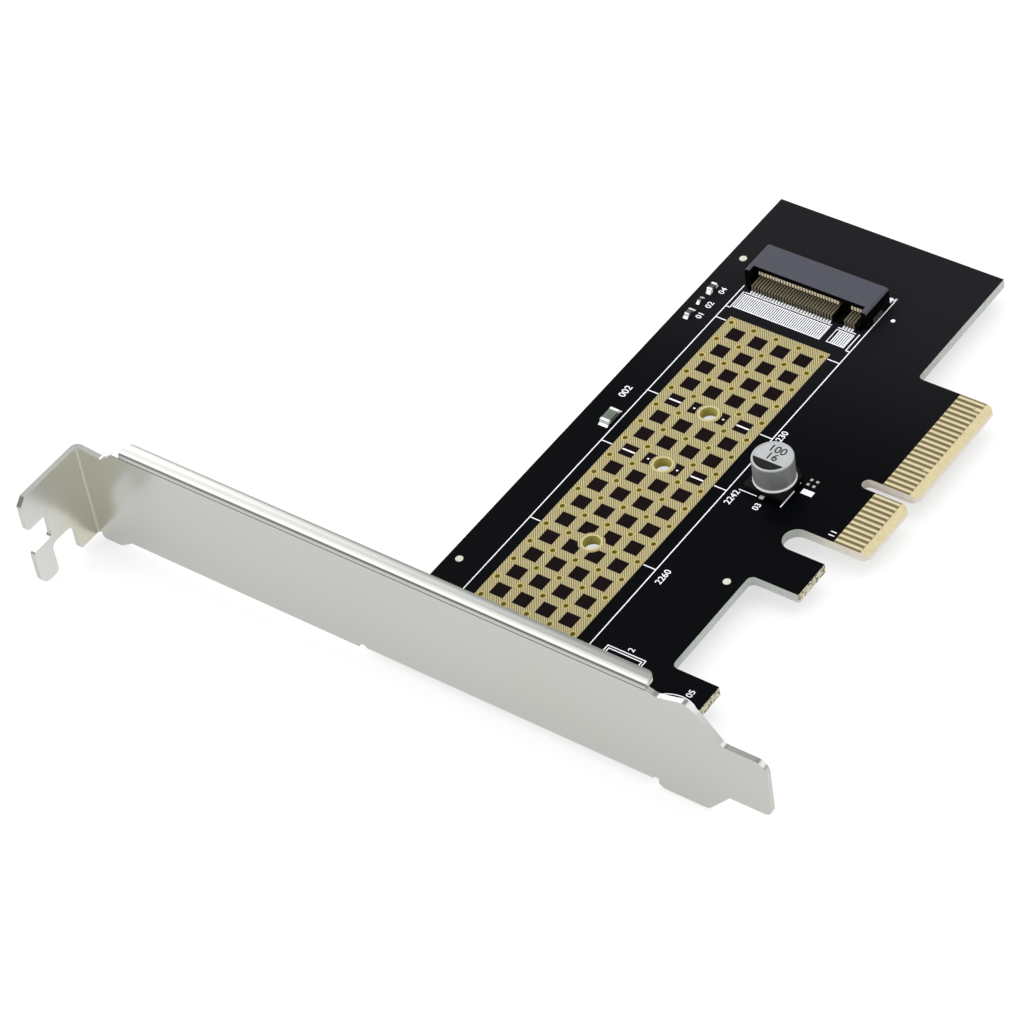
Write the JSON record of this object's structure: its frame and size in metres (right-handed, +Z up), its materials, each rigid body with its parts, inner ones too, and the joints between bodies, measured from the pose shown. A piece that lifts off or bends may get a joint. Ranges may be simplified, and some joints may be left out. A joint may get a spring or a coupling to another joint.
{
  "type": "drive adapter card",
  "caption": "Expansion card that holds a small plug-in drive flat on a black board, with a gold heat grid, an edge connector and a full-height metal bracket.",
  "frame": {"origin": "middle of the key notch, on the board's contact edge and on its component surface", "axes": "+X away from the bracket along the contact edge, +Y from the contact edge across the board, +Z up from the component surface"},
  "size_m": [0.1183, 0.12, 0.021],
  "materials": {
    "bracket_plated_steel": "smooth nickel-plated sheet",
    "screw_steel": "plated screw",
    "board_black": "satin black solder mask on glass-epoxy",
    "gold_plated_copper": "pale gold plating",
    "gold_contacts": "pale gold plating",
    "socket_plastic": "moulded dark blue-grey plastic",
    "socket_contacts": "plated spring contacts",
    "tinned_metal": "tinned ends",
    "capacitor_aluminium": "drawn can",
    "capacitor_base_plastic": "moulded base",
    "lamp_plastic": "clear moulded lens over a pale base",
    "resistor_ceramic": "black coating",
    "capacitor_ceramic": "fired ceramic"
  },
  "bodies": {
    "root": {"bracket": "bracket_plated_steel", "bracket_screws": "screw_steel", "circuit_board": "board_black", "heat_grid": "gold_plated_copper", "edge_contacts_front": "gold_contacts", "edge_contacts_back": "gold_contacts", "socket_housing": "socket_plastic", "socket_contacts_upper": "socket_contacts", "socket_contacts_lower": "socket_contacts", "socket_hold_downs": "tinned_metal", "capacitor_can": "capacitor_aluminium", "capacitor_base": "capacitor_base_plastic", "capacitor_terminals": "tinned_metal", "link_led_body": "lamp_plastic", "link_led_terminals": "tinned_metal", "drive_led_body": "lamp_plastic", "drive_led_terminals": "tinned_metal", "resistor_body": "resistor_ceramic", "resistor_end_caps": "tinned_metal", "ceramic_capacitor_body": "capacitor_ceramic", "ceramic_capacitor_end_caps": "tinned_metal", "fiducial_pads": "gold_plated_copper", "spare_pads": "tinned_metal", "solder_fillets": "tinned_metal"}
  },
  "joints": []
}
